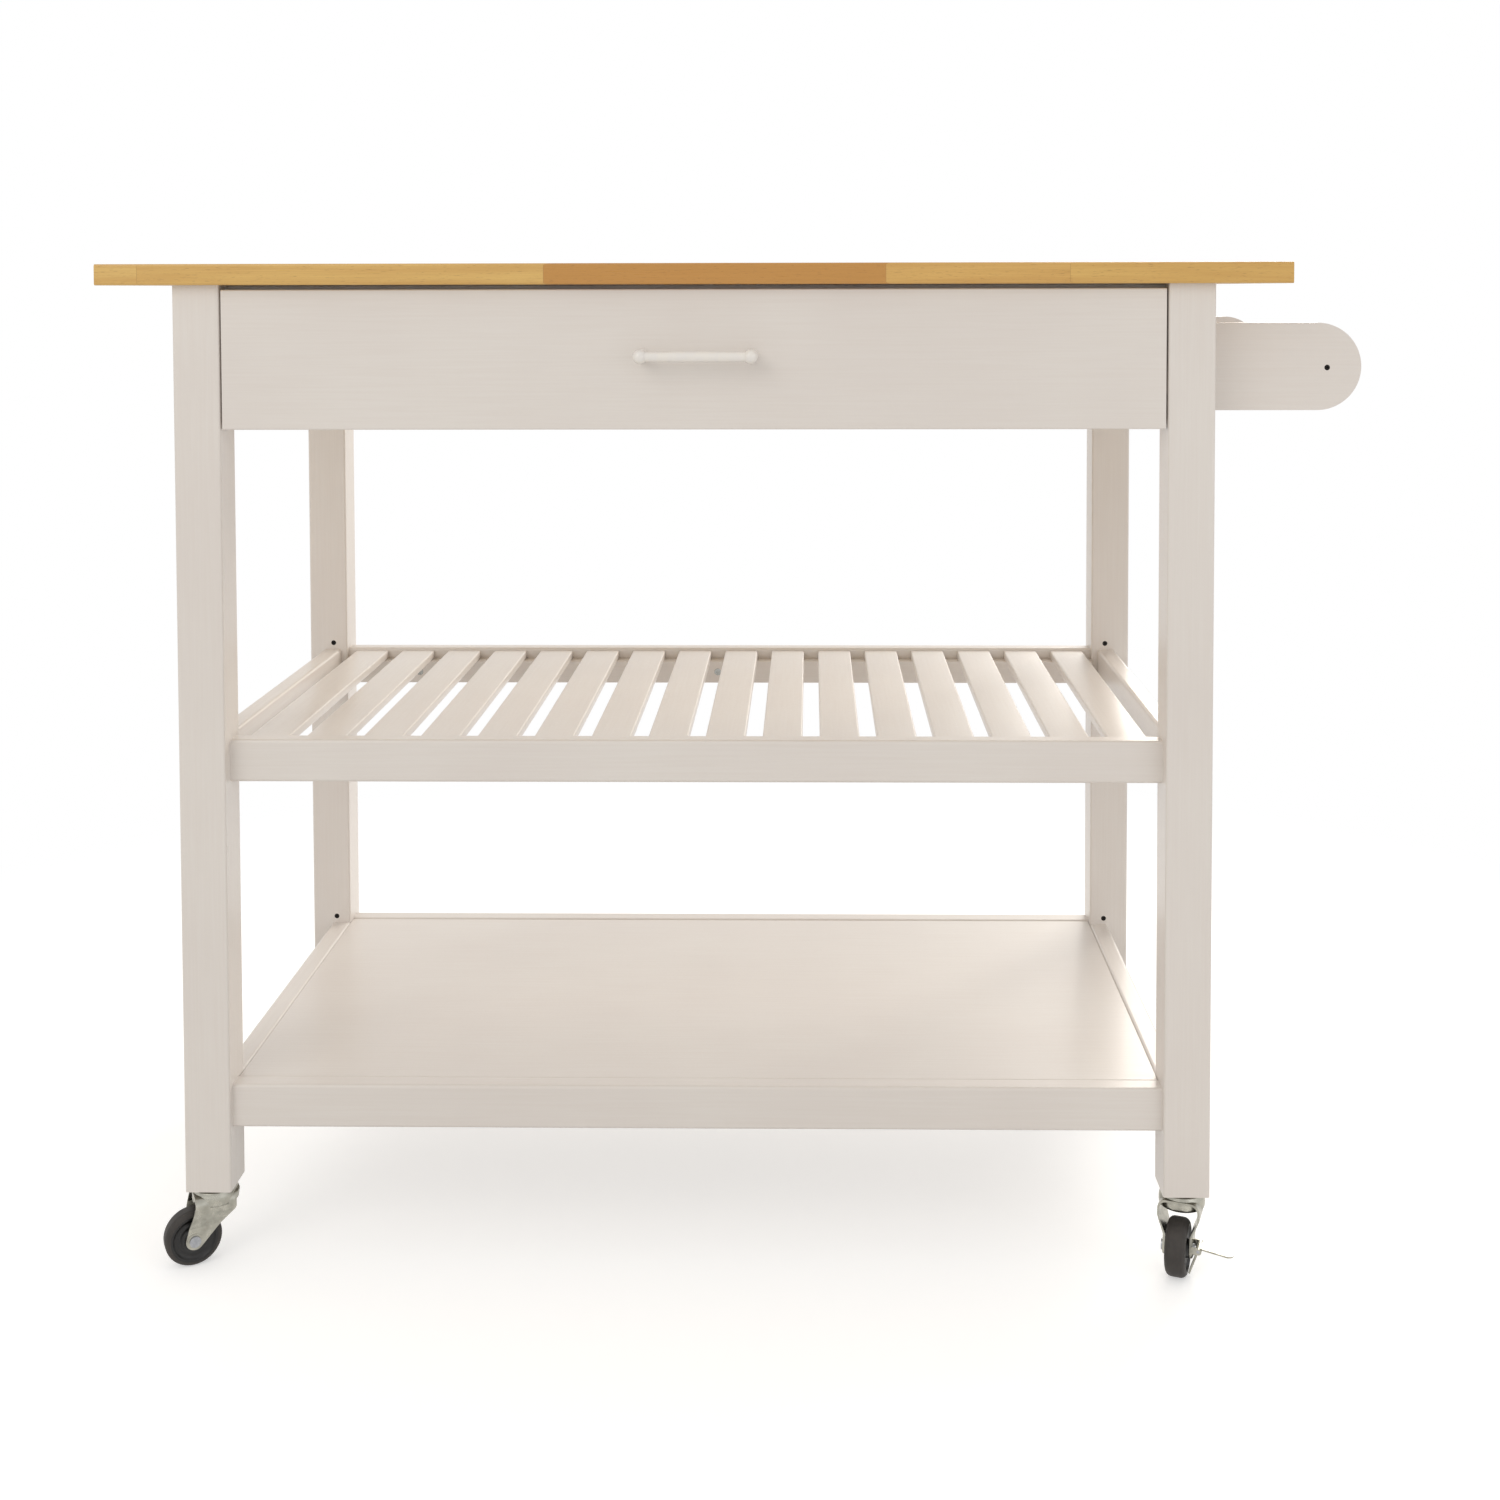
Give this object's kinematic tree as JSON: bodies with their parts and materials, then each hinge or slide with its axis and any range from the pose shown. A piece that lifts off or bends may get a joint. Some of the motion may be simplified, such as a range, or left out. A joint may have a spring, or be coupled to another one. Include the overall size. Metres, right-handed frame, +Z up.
{
  "type": "kitchen island cart",
  "caption": "Rolling kitchen island with a wooden worktop, a wide drawer, a slatted shelf, a solid bottom shelf, a side towel rail and swivel casters.",
  "frame": {"origin": "centre of the bounding box's base, on the floor", "axes": "+X to the towel rail side, +Y from the drawer front to the back, +Z up"},
  "size_m": [1.142, 0.518, 0.919],
  "materials": {
    "rubberwood": "satin lacquer over edge-glued, finger-jointed rubberwood",
    "painted_wood": "satin white paint over rubberwood",
    "drawer_pine": "bare planed wood",
    "drawer_ply": "sanded plywood",
    "beech": "bare dowel",
    "zinc_steel": "bright zinc plate",
    "screw_steel": "zinc-plated screw",
    "cage_steel": "plain pressed strip",
    "ball_steel": "polished ball",
    "black_screws": "black phosphated screw",
    "handle_enamel": "gloss white enamel",
    "wheel_rubber": "moulded black rubber"
  },
  "bodies": {
    "cart": {"worktop": "rubberwood", "leg_front_left": "painted_wood", "leg_front_right": "painted_wood", "leg_rear_left": "painted_wood", "leg_rear_right": "painted_wood", "apron_left": "painted_wood", "apron_right": "painted_wood", "apron_rear": "painted_wood", "drawer_rail_lower": "painted_wood", "drawer_rail_upper": "painted_wood", "top_cleat": "painted_wood", "shelf_rail_front": "painted_wood", "shelf_rail_rear": "painted_wood", "shelf_rails_side": "painted_wood", "shelf_cleats": "painted_wood", "shelf_slats": "painted_wood", "base_rail_front": "painted_wood", "base_rail_rear": "painted_wood", "base_rails_side": "painted_wood", "base_cleats": "painted_wood", "base_panel": "painted_wood", "towel_bracket_front": "painted_wood", "towel_bracket_rear": "painted_wood", "towel_bar": "painted_wood", "towel_rail_screws": "black_screws", "worktop_screws": "screw_steel", "frame_bolts": "zinc_steel", "barrel_nuts": "zinc_steel", "dowels": "beech", "cleat_screws": "screw_steel", "leg_screws": "black_screws", "slide_channels": "zinc_steel", "slide_screws": "screw_steel", "caster_stems": "zinc_steel"},
    "drawer": {"drawer_front": "painted_wood", "drawer_box_front": "drawer_pine", "drawer_side_left": "drawer_pine", "drawer_side_right": "drawer_pine", "drawer_back": "drawer_pine", "drawer_bottom": "drawer_ply", "drawer_runners": "zinc_steel", "drawer_screws": "screw_steel", "drawer_handle": "handle_enamel", "handle_screws": "screw_steel"},
    "ball_cages": {"slide_cages": "cage_steel", "slide_balls": "ball_steel"},
    "swivel_front_left": {"caster_fork_front_left": "zinc_steel", "caster_axle_front_left": "zinc_steel"},
    "wheel_front_left": {"caster_wheel_front_left": "wheel_rubber"},
    "swivel_front_right": {"caster_fork_front_right": "zinc_steel", "caster_axle_front_right": "zinc_steel"},
    "wheel_front_right": {"caster_wheel_front_right": "wheel_rubber"},
    "pedal_front_right": {"brake_pedal_front_right": "zinc_steel"},
    "swivel_rear_left": {"caster_fork_rear_left": "zinc_steel", "caster_axle_rear_left": "zinc_steel"},
    "wheel_rear_left": {"caster_wheel_rear_left": "wheel_rubber"},
    "pedal_rear_left": {"brake_pedal_rear_left": "zinc_steel"},
    "swivel_rear_right": {"caster_fork_rear_right": "zinc_steel", "caster_axle_rear_right": "zinc_steel"},
    "wheel_rear_right": {"caster_wheel_rear_right": "wheel_rubber"}
  },
  "joints": [
    {"name": "drawer_slide", "type": "slide", "parent": "cart", "child": "drawer", "axis": [0, -1, 0], "range_m": [0, 0.26]},
    {"name": "cage_slide", "type": "slide", "parent": "cart", "child": "ball_cages", "axis": [0, -1, 0], "range_m": [0, 0.13]},
    {"name": "swivel_front_left_turn", "type": "hinge", "parent": "cart", "child": "swivel_front_left", "pos_m": [-0.484, -0.21, 0.066], "axis": [0, 0, 1], "continuous": true},
    {"name": "wheel_front_left_spin", "type": "hinge", "parent": "swivel_front_left", "child": "wheel_front_left", "pos_m": [-0.50254, -0.21986, 0.0254], "axis": [0.4695, -0.8829, 0], "continuous": true},
    {"name": "swivel_front_right_turn", "type": "hinge", "parent": "cart", "child": "swivel_front_right", "pos_m": [0.408, -0.21, 0.066], "axis": [0, 0, 1], "continuous": true},
    {"name": "wheel_front_right_spin", "type": "hinge", "parent": "swivel_front_right", "child": "wheel_front_right", "pos_m": [0.40082, -0.22973, 0.0254], "axis": [0.9397, -0.342, 0], "continuous": true},
    {"name": "brake_front_right", "type": "hinge", "parent": "swivel_front_right", "child": "pedal_front_right", "pos_m": [0.41867, -0.23623, 0.0279], "axis": [-0.342, -0.9397, 0], "range_deg": [0, 35]},
    {"name": "swivel_rear_left_turn", "type": "hinge", "parent": "cart", "child": "swivel_rear_left", "pos_m": [-0.484, 0.228, 0.066], "axis": [0, 0, 1], "continuous": true},
    {"name": "wheel_rear_left_spin", "type": "hinge", "parent": "swivel_rear_left", "child": "wheel_rear_left", "pos_m": [-0.50373, 0.22082, 0.0254], "axis": [0.342, -0.9397, 0], "continuous": true},
    {"name": "brake_rear_left", "type": "hinge", "parent": "swivel_rear_left", "child": "pedal_rear_left", "pos_m": [-0.49723, 0.20296, 0.0279], "axis": [-0.9397, -0.342, 0], "range_deg": [0, 35]},
    {"name": "swivel_rear_right_turn", "type": "hinge", "parent": "cart", "child": "swivel_rear_right", "pos_m": [0.408, 0.228, 0.066], "axis": [0, 0, 1], "continuous": true},
    {"name": "wheel_rear_right_spin", "type": "hinge", "parent": "swivel_rear_right", "child": "wheel_rear_right", "pos_m": [0.3975, 0.20981, 0.0254], "axis": [0.866, -0.5, 0], "continuous": true}
  ],
  "couplings": [
    {"joint": "cage_slide", "follows": "drawer_slide", "ratio": 0.5}
  ]
}
